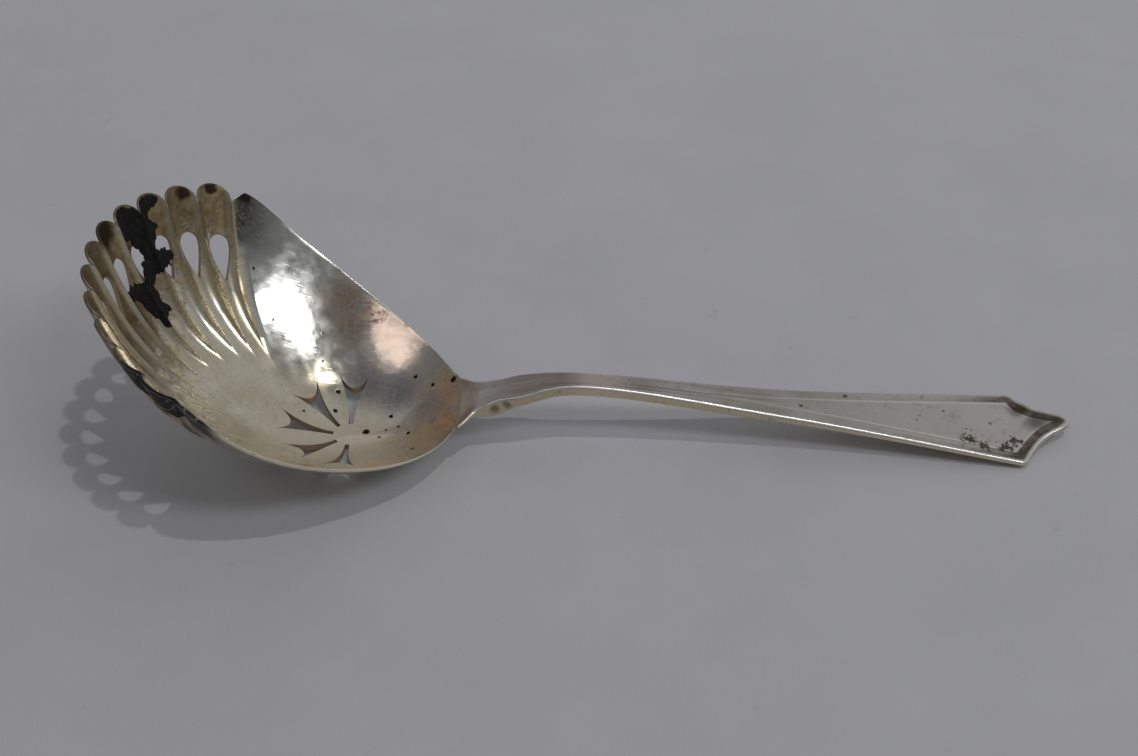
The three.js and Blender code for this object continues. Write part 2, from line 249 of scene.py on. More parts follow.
def skin(rim, across, inFan, rise, shares, closed):  # smooth surface, inward normal, flutes and way up
    rows = shares[:, None]
    grown = rows * (1 + rise / columnLength(rim) * smoothstep(rows, fan["fluteStart"], 1))
    smooth = columnPoint(rim, grown)
    upward = np.gradient(smooth, axis=0)
    ring = np.concatenate([smooth[:, -1:], smooth, smooth[:, :1]], 1) if closed else smooth
    around = np.gradient(ring, axis=1)[:, 1:-1] if closed else np.gradient(ring, axis=1)
    return smooth, unit(np.cross(around, upward)), fluteLift(across, inFan, rows)[..., None], upward


crownMark, outsideMark, cutMark = 1.05, 2, -1  # second UV value on the crown, added outside, and on cut walls


def bowlShell():
    q, y, place, across, inFan, rise = bowlColumns()
    count = len(q)
    shares = np.linspace(0, 1, bowl["rows"] + 1)[1:] ** bowl["rowPower"]
    smooth, inward, lift, upward = skin((q, y), across, inFan, rise, shares, True)
    inner = smooth + inward * lift
    angle = np.abs(np.arctan2(y, q - bowl["neckReach"]))
    extra = bowl["neckThinning"] - bowl["rimThinning"]
    thinning = bowl["rimThinning"] + extra * smoothstep(angle, *bowl["neckThin"])
    thinned = smoothstep(shares, bowl["thinFrom"], 1)[:, None] * thinning
    thinned = thinned * (1 - smoothstep(angle, *bowl["jointFull"]))
    outer = smooth + inward * (lift - bowl["wall"] * (1 - thinned[..., None]))
    outer[..., 2] = np.maximum(outer[..., 2], 0)
    along = unit(upward[-1]) * (bowl["rimRound"] * (1 - smoothstep(angle, *bowl["crownEnd"])))[:, None]
    crown = [inner[-1] + (outer[-1] - inner[-1]) * t + along * math.sqrt(1 - (2 * t - 1) ** 2)
             for t in bowl["crownSteps"]]
    rings = [*inner, *crown, *outer[::-1]]
    ways = [*shares, *[crownMark] * len(crown), *(outsideMark + shares[::-1])]
    hub = columnPoint((q[0], y[0]), 0.0)
    points = np.concatenate([*rings, [hub, hub * [1, 1, 0]]])
    faces, uvs = [], []
    edges = np.append(place, -place[0])
    for i in range(len(rings) - 1):
        for j in range(count):
            corners = ((i, j), (i, j + 1), (i + 1, j + 1), (i + 1, j))
            faces.append(tuple(row * count + column % count for row, column in corners))
            uvs += [(edges[column], ways[row]) for row, column in corners]
    pole = len(rings) * count
    last = (len(rings) - 1) * count
    for j in range(count):
        k = (j + 1) % count
        faces.append((pole, k, j))
        uvs += [(edges[j], 0), (edges[j + 1], ways[0]), (edges[j], ways[0])]
        faces.append((pole + 1, last + j, last + k))
        uvs += [(edges[j], outsideMark), (edges[j], ways[-1]), (edges[j + 1], ways[-1])]
    return meshObject("bowlShell", points, faces, uvs)


def prism(name, outline, low, high):  # closed cutter along Z
    count = len(outline)
    points = [(x, y, low) for x, y in outline] + [(x, y, high) for x, y in outline]
    faces = [tuple(range(count))[::-1], tuple(range(count, 2 * count))]
    faces += [(i, (i + 1) % count, count + (i + 1) % count, count + i) for i in range(count)]
    return meshObject(name, points, faces, [(0, cutMark)] * sum(map(len, faces)))


def bezier(a, b, c, steps):
    t = np.linspace(0, 1, steps + 1)[:, None]
    return (1 - t) ** 2 * np.array(a) + 2 * t * (1 - t) * np.array(b) + t ** 2 * np.array(c)


def dropCutter():  # round end toward the rim, along +Y
    r, length = fan["holeWidth"] / 2, fan["holeLength"]
    turn = np.linspace(0, math.pi, fan["holeRoundSteps"] + 1)
    side = bezier((0, -length), (r, -length / 2), (r, -r), fan["holeSideSteps"])[:-1]
    top = np.stack([r * np.cos(turn), -r + r * np.sin(turn)], -1)
    other = (side * [-1, 1])[::-1][:-1]
    outline = np.concatenate([side, top, other]) + [0, length / 2]
    reach = fan["cutReach"] * bowl["wall"]
    return prism("dropCutter", outline.tolist(), -reach, reach)


def slotCutter():  # narrow at the hub, two horns and a tongue of metal at the outer end
    middle = (flower["inner"] + flower["outer"]) / 2
    out, half, root, steps = (flower[key] for key in ("outer", "half", "root", "sideSteps"))
    near = bezier((flower["inner"], -root), (middle, -root), (out, -half), steps)[:-1]
    tongue = bezier((out, -half), (out - 2 * flower["tongue"], 0), (out, half), steps)[:-1]
    back = bezier((out, half), (middle, root), (flower["inner"], root), steps)
    outline = np.concatenate([near, tongue, back])
    return prism("slotCutter", outline.tolist(), -bowl["wall"], bowl["depth"])


def markers(name, places, ups, throughs):  # points that carry a direction each
    made = meshObject(name, places, [])
    for label, values in (("up", ups), ("through", throughs)):
        attribute = made.data.attributes.new(label, "FLOAT_VECTOR", "POINT")
        attribute.data.foreach_set("vector", np.asarray(values, dtype=np.float32).ravel())
    return made


def lobeMarkers():
    half = (fan["lobes"] - 1) / 2
    place = np.arange(fan["lobes"]) - half
    step = 0.02  # for the directions at a hole
    rim = valleyAt(place)
    drop = fan["holeDrop"] + (fan["holeDropEnd"] - fan["holeDrop"]) * (place / half) ** 2
    share = 1 + (fan["lobeRise"] - drop - fan["holeLength"] / 2) / columnLength(rim)
    middle = columnPoint(rim, share)
    up = columnPoint(rim, share + step) - middle
    across = columnPoint(valleyAt(place + step), share) - middle
    return markers("lobeMarkers", middle, unit(up), unit(np.cross(across, up)))


def slotMarkers():
    hub = bowlSurface(bowl["hubRun"], 0.0) * [1, 1, 0]
    turns = math.pi + (np.arange(flower["slots"]) - (flower["slots"] - 1) / 2) * flower["step"]
    ups = [(-math.sin(t), math.cos(t), 0) for t in turns]
    return markers("slotMarkers", [hub] * flower["slots"], ups, [(0, 0, 1)] * flower["slots"])


def fill(tree, node, values):  # links or sets a node's inputs; a colour is written as hex
    for key, value in values.items():
        if isinstance(value, bpy.types.NodeSocket):
            tree.links.new(value, node.inputs[key])
        else:
            node.inputs[key].default_value = linear(value) if str(value).startswith("#") else value


def addNode(tree, kind, settings, *values, out=0):  # adds a node, sets it and fills its inputs in order
    node = tree.nodes.new(kind)
    for key, value in settings.items():
        setattr(node, key, value)
    free = [i for i, socket in enumerate(node.inputs) if socket.enabled]
    fill(tree, node, dict(zip(free, values)))
    return [socket for socket in node.outputs if socket.enabled][out]


geometry = 4  # Object Info's geometry output


def piercingTree():  # one cutter at each marker, cut out of the shell
    tree = bpy.data.node_groups.new("pierceBowl", "GeometryNodeTree")
    panel = tree.interface
    panel.new_socket("Shell", in_out="INPUT", socket_type="NodeSocketGeometry")
    for label in ("Drop", "Lobe markers", "Slot", "Slot markers", "Joint block"):
        panel.new_socket(label, in_out="INPUT", socket_type="NodeSocketObject")
    panel.new_socket("Silver", in_out="INPUT", socket_type="NodeSocketMaterial")
    panel.new_socket("Bowl", in_out="OUTPUT", socket_type="NodeSocketGeometry")
    start = tree.nodes.new("NodeGroupInput").outputs
    cutters = tree.nodes.new("GeometryNodeJoinGeometry")
    for cutter, marker in (("Drop", "Lobe markers"), ("Slot", "Slot markers")):
        shape, spots = (addNode(tree, "GeometryNodeObjectInfo", {}, start[label], out=geometry)
                        for label in (cutter, marker))
        through, up = (addNode(tree, "GeometryNodeInputNamedAttribute", {"data_type": "FLOAT_VECTOR"}, label)
                       for label in ("through", "up"))
        axes = {"primary_axis": "Z", "secondary_axis": "Y"}
        turn = addNode(tree, "FunctionNodeAxesToRotation", axes, through, up)
        copies = tree.nodes.new("GeometryNodeInstanceOnPoints")
        fill(tree, copies, {"Points": spots, "Instance": shape, "Rotation": turn})
        real = addNode(tree, "GeometryNodeRealizeInstances", {}, copies.outputs[0])
        tree.links.new(real, cutters.inputs[0])
    block = addNode(tree, "GeometryNodeObjectInfo", {}, start["Joint block"], out=geometry)
    tree.links.new(block, cutters.inputs[0])
    difference = {"operation": "DIFFERENCE", "solver": "MANIFOLD"}
    cut = addNode(tree, "GeometryNodeMeshBoolean", difference, start["Shell"], cutters.outputs[0])
    real = addNode(tree, "GeometryNodeRealizeInstances", {}, cut)
    dressed = addNode(tree, "GeometryNodeSetMaterial", {}, real, True, start["Silver"])
    tree.links.new(dressed, tree.nodes.new("NodeGroupOutput").inputs[0])
    return tree


def makeBowl(silver):
    shell = bowlShell()
    drop, slot = dropCutter(), slotCutter()
    lobeSpots, slotSpots = lobeMarkers(), slotMarkers()
    near, side = bowl["jointX"], bowl["radius"]
    outline = [(near, -side), (near + side, -side), (near + side, side), (near, side)]
    block = prism("jointBlock", outline, -side, side)
    tree = piercingTree()
    modifier = shell.modifiers.new("pierce", "NODES")
    modifier.node_group = tree
    inputs = {"Drop": drop, "Lobe markers": lobeSpots, "Slot": slot, "Slot markers": slotSpots}
    inputs |= {"Joint block": block, "Silver": silver}
    for item in tree.interface.items_tree:  # a modifier's input goes by its socket's identifier
        if item.name in inputs:
            modifier[item.identifier] = inputs[item.name]
    bpy.context.view_layer.update()
    pierced = shell.evaluated_get(bpy.context.evaluated_depsgraph_get())
    made = linked("bowlSilver", bpy.data.meshes.new_from_object(pierced))
    for item in (shell, drop, slot, lobeSpots, slotSpots, block):
        mesh = item.data
        bpy.data.objects.remove(item)
        bpy.data.meshes.remove(mesh)
    return finished(made, bowl["smoothAngle"])


def loftFaces(rings, count):  # quads between rings of points and a cap at both ends
    faces = []
    for i in range(rings - 1):
        for j in range(count):
            k = (j + 1) % count
            faces.append((i * count + j, (i + 1) * count + j, (i + 1) * count + k, i * count + k))
    last = (rings - 1) * count
    return [*faces, tuple(range(count)), tuple(range(last, last + count))[::-1]]


# Solder film between the handle's foot and the bowl's neck, dressed flush
film = {"width": 0.4, "rise": 0.2, "rings": 5, "smoothAngle": 50}


def makeFilm(foot, solder):
    steps = np.linspace(1, 0, film["rings"])
    rings = [foot - [film["width"] * t, 0, film["rise"] * t] for t in steps]
    faces = loftFaces(len(rings), len(foot))
    made = meshObject("solderFilm", np.concatenate(rings), faces)
    return finished(made, film["smoothAngle"], solder)


# Handle: die-struck, from the foot at the solder seam to the shield end
handle = {
    "start": bowl["jointX"] + film["width"],
    "runs": (5.6, 4.2, 8.0, 34.0, 37.4),  # foot to throat, shoulder, crest, middle, flare
    "halves": (2.95, 3.0, 2.05, 3.65, 8.45),
    "heights": (10.2, 11.2, 12.4, 7.1, 1.4),
    "tipRun": 7.8,
    "tipHalf": 2.25,
    "tipRound": 2.3,
    "tipBlunt": 0.53,
    "tipHeight": 3.0,
    "shoulderPull": 0.28,
    "shoulderWaist": 1.67,
    "cornerRound": 2.2,  # smoothing of the flare's corners
    "footWaist": 0.5,  # how far the foot draws in between seam and throat
    "footShift": 0.3,  # and how far it lies to the far side
    "footEdgeShare": 0.42,
    "edgeRound": 0.7,  # rounding of the upper edges
    "thicknesses": (3.0, 2.7, 1.4),  # at throat, crest and flare
    "edgeShare": 0.62,
    "edgeRoundMost": 0.55,  # of the edge's thickness
    "sideSteps": ((0.998, 0.04), (1.0, 0.12)),  # share of the half width and drop, down the side
    "backAcross": (1.0, 0.995, 0.975, 0.93, 0.8, 0.6, 0.4, 0.2, 0.0),  # shares of the half width
    "backLift": (0.35, 0.18, 0.07, 0, 0, 0, 0, 0, 0),  # shares of the edge's thickness
    "outlineSteps": {"stem": 400, "shoulder": 300, "tip": 120},
    "outlineStep": 0.05,
    "stations": 420,
    "denseRun": 2.0,  # stations lie closer from here before the flare to the tip
    "tipGap": 0.02,
    "searchReach": 7,  # stretch of edge that is searched for the nearest point
    "searchSteps": 140,
    "panelSteps": 5,
    "smoothAngle": 50,
}
knotX = handle["start"] + np.concatenate([[0], np.cumsum(handle["runs"])])
flareX, tipX = knotX[-1], knotX[-1] + handle["tipRun"]

# Border on the handle's face: bead at the edge, cove, thin raised line
border = {
    "bead": (0.28, 0.26, 0.03),  # distance from the edge, half width and height
    "cove": (1.35, 0.85, -0.2),
    "line": (2.5, 0.19, 0.06),
    "fullAt": 4.0,  # half width where the border has its full spread
    "stemRelief": 0.4,  # share of the relief left on the worn stem
    "reliefRun": (66, 94),  # where along the handle it grows to its full height
    "insets": ((0.02, 0.6, 12), (0.7, 2.1, 11), (2.16, 2.84, 14)),  # points from, to and how many
}


def neckSection():  # edge and middle of the bowl's neck at the joint
    angle = np.linspace(plainStart, math.pi, bowl["samples"])
    run = np.linspace(bowl["hubRun"], 0, bowl["samples"])
    lines = bowlSurface(*planAt(angle, outlineRadius(angle))), bowlSurface(run, 0 * run)
    return [line[np.searchsorted(line[:, 0], bowl["jointX"])] for line in lines]


def throughPoints(points, steps):  # centripetal curve through the points
    points = np.asarray(points, float)
    ends = np.vstack([2 * points[0] - points[1], points, 2 * points[-1] - points[-2]])
    curve = []
    for i in range(1, len(ends) - 2):
        p0, p1, p2, p3 = ends[i - 1:i + 3]
        d0, d1, d2 = (np.sqrt(np.linalg.norm(b - a)) for a, b in ((p0, p1), (p1, p2), (p2, p3)))
        m1 = d1 * ((p1 - p0) / d0 - (p2 - p0) / (d0 + d1) + (p2 - p1) / d1)
        m2 = d1 * ((p2 - p1) / d1 - (p3 - p1) / (d1 + d2) + (p3 - p2) / d2)
        square, cube = 3 * (p2 - p1) - 2 * m1 - m2, 2 * (p1 - p2) + m1 + m2
        t = np.linspace(0, 1, steps + 1)[:, None]
        curve.append((p1 + m1 * t + square * t ** 2 + cube * t ** 3)[:-1])
    return np.vstack([*curve, points[-1:]])


def handleOutline():  # x, half width and height of the upper edge, foot to tip
    edge, _ = neckSection()
    steps = handle["outlineSteps"]
    knots = [knotX, [edge[1], *handle["halves"]], [edge[2] + film["rise"], *handle["heights"]]]
    stem = throughPoints(np.stack(knots, -1), steps["stem"])
    waist = np.sin(math.pi * np.clip((stem[:, 0] - knotX[0]) / (knotX[1] - knotX[0]), 0, 1)) ** 2
    stem[:, 1] -= handle["footWaist"] * waist
    flareHalf, tipHalf = handle["halves"][-1], handle["tipHalf"]
    pull = (flareX + handle["tipRun"] * handle["shoulderPull"], tipHalf * handle["shoulderWaist"])
    corner = (tipX - handle["tipRound"], tipHalf)
    blunt = (tipX, tipHalf * handle["tipBlunt"])
    shoulder = bezier((flareX, flareHalf), pull, corner, steps["shoulder"])[1:]
    end = bezier(corner, blunt, (tipX, 0), steps["tip"])[1:]
    tip = np.vstack([shoulder, end])
    rise = np.sin((tip[:, 0] - flareX) / handle["tipRun"] * math.pi / 2)
    height = handle["heights"][-1] + (handle["tipHeight"] - handle["heights"][-1]) * rise
    line = np.vstack([stem, np.column_stack([tip, height])])
    way = np.concatenate([[0], np.cumsum(np.linalg.norm(np.diff(line[:, :2], axis=0), axis=1))])
    step = handle["outlineStep"]
    line = np.stack([np.interp(np.arange(0, way[-1], step), way, line[:, i]) for i in range(3)], -1)
    reach = int(handle["cornerRound"] / 2 / step)
    flare = np.searchsorted(line[:, 0], flareX)
    near = slice(flare - 2 * reach, flare + 2 * reach + 1)
    window = np.ones(2 * reach + 1) / (2 * reach + 1)
    softer = np.stack([np.convolve(line[:, i], window, "same") for i in range(2)], -1)[near]
    share = 1 - smoothstep(np.abs(np.linspace(-2, 2, len(softer))), 0.8, 2)[:, None]
    line[near, :2] += (softer - line[near, :2]) * share
    return line


def handleThickness(x):
    knots = [knotX[0], knotX[1], knotX[3], flareX]
    neckEnd = (0.0, 0.0)
    rise = columnPoint(neckEnd, 0.98) - columnPoint(neckEnd, 1.0)
    foot = bowl["wall"] * np.linalg.norm(rise) / abs(rise[0])  # the sheet's thickness, cut upright
    sizes = [foot, *handle["thicknesses"]]
    steps = zip(np.diff(sizes), knots, knots[1:])
    return foot + sum(step * smoothstep(x, low, high) for step, low, high in steps)


def borderRise(inset):  # height over the panel at a distance in from the edge
    rise = 0.0
    for middle, half, height in (border[name] for name in ("bead", "cove", "line")):
        rise = rise + height * np.cos(np.clip((inset - middle) / half, -1, 1) * math.pi / 2) ** 2
    return rise


def lineDistance(points, line):  # from each point to the nearest place on a line of points
    along = np.diff(line, axis=0)
    offset = points[:, None] - line[:-1]
    share = np.clip((offset * along).sum(-1) / (along ** 2).sum(-1), 0, 1)
    return np.linalg.norm(offset - share[..., None] * along, axis=-1).min(1)


def makeHandle(silver):
    line = handleOutline()
    edge, middle = neckSection()
    throatX, shoulderX = knotX[1:3]
    denseX, count = flareX - handle["denseRun"], handle["stations"] // 2
    stem = np.linspace(handle["start"], denseX, count)
    end = np.linspace(denseX, line[-1, 0] - handle["tipGap"], count)[1:]
    xs = np.concatenate([stem, end])
    order = np.argsort(line[:, 0])
    halves, heights = (np.interp(xs, line[order, 0], line[order, i]) for i in (1, 2))
    thick = handleThickness(xs)
    pastThroat = smoothstep(xs, throatX, shoulderX)
    grown = smoothstep(xs, *border["reliefRun"])
    relief = pastThroat * (border["stemRelief"] + (1 - border["stemRelief"]) * grown)
    footShare = smoothstep(xs, handle["start"], throatX)
    shifts = handle["footShift"] * np.sin(math.pi * footShare) ** 2
    dish = (edge[2] - middle[2]) * (1 - footShare)
    edgeShares = np.where(xs < throatX, handle["footEdgeShare"] + (1 - handle["footEdgeShare"]) * footShare,
                          1 + (handle["edgeShare"] - 1) * pastThroat)
    spread = np.minimum(1, halves / border["fullAt"])
    insets = np.concatenate([np.linspace(*run) for run in border["insets"]])
    backAcross, backLift = np.array(handle["backAcross"]), np.array(handle["backLift"])
    rings, ways = [], []
    stations = zip(xs, halves, heights, thick, relief, dish, spread, thick * edgeShares, shifts)
    for x, half, height, t, s, d, w, rim, shift in stations:
        near = np.abs(line[:, 0] - x) < handle["searchReach"]
        ys = np.linspace(0, half, handle["searchSteps"])
        away = lineDistance(np.stack([np.full_like(ys, x), ys], -1), line[near, :2])
        away[-1] = 0
        y = np.interp(insets * w, away[::-1], ys[::-1], right=0.0)
        y = np.concatenate([y, y[-1] * np.linspace(0.8, 0, handle["panelSteps"])])
        inset = np.interp(y, ys, away)
        face = height - d * (1 - (y / half) ** 2)
        r = min(handle["edgeRound"], handle["edgeRoundMost"] * rim)
        top = face + s * w * borderRise(inset / w) - r + np.sqrt(r ** 2 - np.clip(r - inset, 0, r) ** 2)
        lowY = half * backAcross
        bowed = 1 - (lowY / half) ** 2
        side = [(half * share, top[0] - drop) for share, drop in handle["sideSteps"]]
        lower = list(zip(lowY, height - d * bowed - (rim + (t - rim) * bowed) + rim * backLift))
        right = [*zip(y[::-1], top[::-1]), *side, *lower]
        ring = right + [(-a, b) for a, b in right[-2:0:-1]]
        rings.append([(x, a + shift, b) for a, b in ring])
        rightWay = [*inset[::-1], *[0.0] * (len(side) + len(lower))]
        ways.append([(x, v) for v in rightWay + rightWay[-2:0:-1]])
    faces = loftFaces(len(rings), len(rings[0]))
    uvs = np.array(ways).reshape(-1, 2)[[v for f in faces for v in f]]
    made = meshObject("handleSilver", np.array(rings).reshape(-1, 3), faces, uvs)
    return finished(made, handle["smoothAngle"], silver), np.array(rings[0])


# Flaking black crust over three of the lobes: outline in lobes from the middle and share of the way up
crust = {
    "outline": (
        (1.55, 1.0), (3.35, 1.0), (3.2, 0.97), (2.95, 0.965), (2.9, 0.94), (3.15, 0.93), (2.9, 0.9),
        (2.75, 0.88), (3.25, 0.865), (3.3, 0.835), (2.75, 0.82), (2.45, 0.835), (2.1, 0.8), (2.05, 0.765),
        (2.2, 0.725), (1.4, 0.7), (1.1, 0.79), (0.75, 0.84), (1.5, 0.85), (1.8, 0.82), (2.0, 0.865),
        (2.2, 0.88), (2.05, 0.905), (1.6, 0.955),
    ),
    "lobeSpan": 5.6,  # millimetres across one lobe
    "columnSpan": 44.0,  # and from the hub to the rim
    "thickness": 0.34,
    "edgeThickness": 0.1,
    "edgeRun": 0.7,
    "sunk": 0.08,  # how deep its underside lies in the silver
    "edgeGrains": ((1.1, 0.45), (0.4, 0.27)),  # grain size and how far it frays the edge
    "swellGrain": 0.9,
    "swellShares": (0.65, 0.35),  # even and uneven share of the thickness
    "flakeGrain": 0.35,
    "flakeHeight": 0.07,
    "margin": 0.5,  # around the outline
    "cell": 0.12,
    "smoothAngle": 35,
}


def insideOutline(points, outline):  # distance to the outline, positive inside
    closed = np.vstack([outline, outline[:1]])
    odd = np.zeros(len(points), bool)
    for a, b in zip(closed, closed[1:]):
        crosses = (a[1] > points[:, 1]) != (b[1] > points[:, 1])
        slope = (b[0] - a[0]) / (b[1] - a[1]) if b[1] != a[1] else 0.0
        odd ^= crosses & (points[:, 0] < a[0] + (points[:, 1] - a[1]) * slope)
    return np.where(odd, 1, -1) * lineDistance(points, closed)


def roughness(points, size):  # smooth random height for each point, at a grain of a size in mm
    return np.array([noise.noise(Vector((u / size, v / size, size))) for u, v in points])


def makeCrust(material):
    spans = np.array([crust["lobeSpan"], crust["columnSpan"]])
    outline = np.array(crust["outline"])
    margin = crust["margin"] / spans
    low, high = outline.min(0) - margin, np.minimum(outline.max(0) + margin, [np.inf, 1.0])
    counts = ((high - low) * spans / crust["cell"]).astype(int)
    places, shares = (np.linspace(low[i], high[i], counts[i]) for i in (0, 1))
    across = acrossLobe(places)
    smooth, inward, lift, _ = skin(valleyAt(places), across, 1.0, lobeEdge(across), shares, False)
    flat = np.stack(np.meshgrid(places, shares), -1).reshape(-1, 2) * spans
    depth = insideOutline(flat, outline * spans)
    for size, strength in crust["edgeGrains"]:
        depth = depth + strength * roughness(flat, size)
    even, uneven = crust["swellShares"]
    swell = np.clip(depth / crust["edgeRun"], 0, 1) * (even + uneven * roughness(flat, crust["swellGrain"]))
    flakes = crust["flakeHeight"] * roughness(flat, crust["flakeGrain"])
    height = crust["edgeThickness"] + crust["thickness"] * swell + flakes
    base = (smooth + inward * lift).reshape(-1, 3)
    normal = inward.reshape(-1, 3)
    wide = len(places)
    kept = (depth > 0).reshape(len(shares), wide)
    kept = kept[:-1, :-1] & kept[1:, :-1] & kept[:-1, 1:] & kept[1:, 1:]
    points = np.concatenate([base + normal * height[:, None], base - normal * crust["sunk"]])
    faces, under = [], len(base)
    for i, j in zip(*np.nonzero(kept)):
        a, b, c, d = i * wide + j, i * wide + j + 1, (i + 1) * wide + j + 1, (i + 1) * wide + j
        faces += [(a, b, c, d), (under + d, under + c, under + b, under + a)]
        for di, dj, m, n in ((-1, 0, a, b), (0, 1, b, c), (1, 0, c, d), (0, -1, d, a)):
            y, x = i + di, j + dj
            if not (0 <= y < kept.shape[0] and 0 <= x < kept.shape[1] and kept[y, x]):
                faces.append((n, m, under + m, under + n))
    used = np.unique([v for f in faces for v in f])
    renumber = np.zeros(len(points), int)
    renumber[used] = np.arange(len(used))
    made = meshObject("blackCrust", points[used], [tuple(renumber[list(f)]) for f in faces])
    return finished(made, crust["smoothAngle"], material)


multiply, plus, minus, largest, absolute, multiplyAdd = (
    {"operation": name} for name in ("MULTIPLY", "ADD", "SUBTRACT", "MAXIMUM", "ABSOLUTE", "MULTIPLY_ADD")
)
soft = {"interpolation_type": "SMOOTHSTEP"}  # Map Range without corners
rgba = {"data_type": "RGBA"}
objectSpace, surfaceNormal, noiseColor = 3, 1, 1  # outputs of Texture Coordinate, Geometry and Noise Texture
grainDetail = (3.0, 0.6)  # octaves and how strong the finer ones are
scratchWidth = 0.15  # mm, wider than real scratches of about 0.05, so that they show in the render


def newMaterial(name, sizes):  # functions that add nodes and fill the shader, places, noise of sizes in mm
    material = bpy.data.materials.new(name)
    material.use_nodes = True
    tree = material.node_tree

    def add(kind, *rest, **more):
        return addNode(tree, "ShaderNode" + kind, *rest, **more)

    def finish(values):
        fill(tree, tree.nodes["Principled BSDF"], values)
        return material

    place = add("TexCoord", {}, out=objectSpace)
    return add, finish, place, [add("TexNoise", {}, place, 1 / (size * mm), *grainDetail) for size in sizes]


def scratches(add, place, angle, width, length):  # lines in one direction, sizes in mm
    turned = add("Mapping", {}, place, (0, 0, 0), (0, 0, angle), (width / length, 1, width / length))
    return add("MapRange", soft, add("TexNoise", {}, turned, 1 / (width * mm), 2.0, 0.6), 0.6, 0.72)


def spotted(add, place, spots, sharp):  # round marks: x, y, z and radius in mm
    mask = 0.0
    for x, y, z, radius in spots:
        away = add("VectorMath", {"operation": "DISTANCE"}, place, (x * mm, y * mm, z * mm))
        mask = add("Math", largest, mask, add("MapRange", soft, away, radius * mm, radius * sharp * mm))
    return mask


def between(add, *bands):  # product of soft ranges, each a value and its limits
    mask = 1.0
    for band in bands:
        mask = add("Math", multiply, mask, add("MapRange", soft, *band))
    return mask


def weighted(add, total, *parts):  # adds each part times its weight
    for part, weight in parts:
        total = add("Math", multiplyAdd, part, weight, total)
    return total


def ragged(add, place, size, reach):  # places pushed about by noise, for uneven edges
    cloud = add("TexNoise", {}, place, 1 / (size * mm), 4.0, out=noiseColor)
    centred = add("VectorMath", minus, cloud, (0.5, 0.5, 0.5))
    return add("VectorMath", multiplyAdd, centred, (reach * mm,) * 3, place)


# Bowl's finish: limits around it are counted in lobes from the fan's middle, positive on the far side
sheet = {
    "grains": (9.0, 2.4, 0.6, 0.8),  # mm
    "fanEdge": (5.65, 5.5),
    "farWall": (5.5, 6.0, 0.0, 0.8),  # limits, then the mask's values there if not 0 and 1
    # near wall painted pale cream: a painted reflection
    "nearWallPaintedReflection": (-6.2, -7.4, 0.0, 0.7),
    "cornerFade": (7.2, 5.8),
    "leftLobes": (2.0, 0.0, 0.0, 0.6),
    "brownStart": (-1.0, 4.6, 0.57, 0.8),  # how far up the tarnish starts
    # rim crown painted near white, strongest on the far plain side: worn bright metal and a painted highlight
    "wornRimAndPaintedHighlight": (5.2, 6.2, 0.12, 0.9),
    "wornRimAndPaintedHighlightEnd": (13.2, 11.5),
    "blackAround": ((-3.6, -4.4), (-7.1, -6.4)),
    "bump": 0.03,  # mm
}
# Stains in the bowl, with a painted reflection and a painted glint among them: colour, strength, share of the
# radius that is full, and x, y, z and radius in mm
stains = {
    "umber": ("#d8b08c", 0.9, 0.1, ((13, -4, 4.5, 10), (14, 4, 5.8, 9), (5, -12, 5, 8))),
    "violet": ("#b0a6ac", 0.8, 0.1, ((0.8, 10.5, 3.8, 6), (6, 7.5, 3.2, 5.5), (11.5, 4, 4.4, 5))),
    "brown": ("#bf9f7f", 0.85, 0.1, ((-3.5, 20.5, 12.6, 5.6), (-2.7, 17.5, 9.8, 4.5), (0.2, 20, 11.6, 2.4))),
    "ring": ("#795437", 0.8, 0.7, ((2.2, 18.8, 10.5, 1.5), (6.8, 17.4, 10, 0.7))),
    # pale pinkish-white patch on the far wall: a painted reflection of a warm light, not copper
    "paintedPinkReflection": ("#f7e9d8", 0.7, 0.3, ((4.4, 16.4, 8.6, 4.4), (8, 13.4, 7, 5.2))),
    # orange mark by the seam: a painted glint
    "paintedOrangeGlint": ("#f4b06f", 0.7, 0.1, ((14.8, -2.2, 6.1, 2.2), (13.6, -3.4, 5.2, 1.6))),
    "joint": ("#bab0a4", 0.8, 0.1, (
        (17.6, -4.5, 7, 2.2), (17.8, -1.5, 7, 2.2), (17.8, 1.5, 7, 2.2), (17.6, 4.5, 7, 2.2),
    )),
}
# Marks in the bowl: x, y, z and radius in mm
pits = (
    (15.3, 6.8, 6.8, 0.8), (8.6, 9.9, 4.9, 0.5), (11.7, 7.6, 5.1, 0.5), (4.9, 3.7, 1.6, 0.5),
    (8.2, -1.2, 2.4, 0.5), (6.3, 1.0, 1.7, 0.35), (4.3, 0.8, 1.2, 0.35), (3.3, -0.7, 1.1, 0.35),
    (9.4, -6.6, 3.8, 0.5), (-4.2, 8.3, 3.1, 0.6), (-4.4, 4.9, 1.9, 0.5), (-9.2, 3.4, 3.2, 0.35),
    (-6.9, 12.5, 6.3, 0.3), (-14.9, 15.9, 12.5, 0.3), (-17.9, 20.8, 19.3, 0.35), (-7.1, 16.1, 9.3, 0.3),
    (1.0, 0.8, 0.9, 0.8),
)
rubbed = ((-8, -7, 3.2, 13), (1, -12, 3.8, 11))  # where the floor is rubbed matt
darkTips = (
    (-23.6, 25.0, 32.7, 1.6), (-27.4, 21.6, 33.9, 1.7), (-18.9, 26.8, 29.4, 1.5), (-36.6, 5.2, 37.6, 3.8),
)


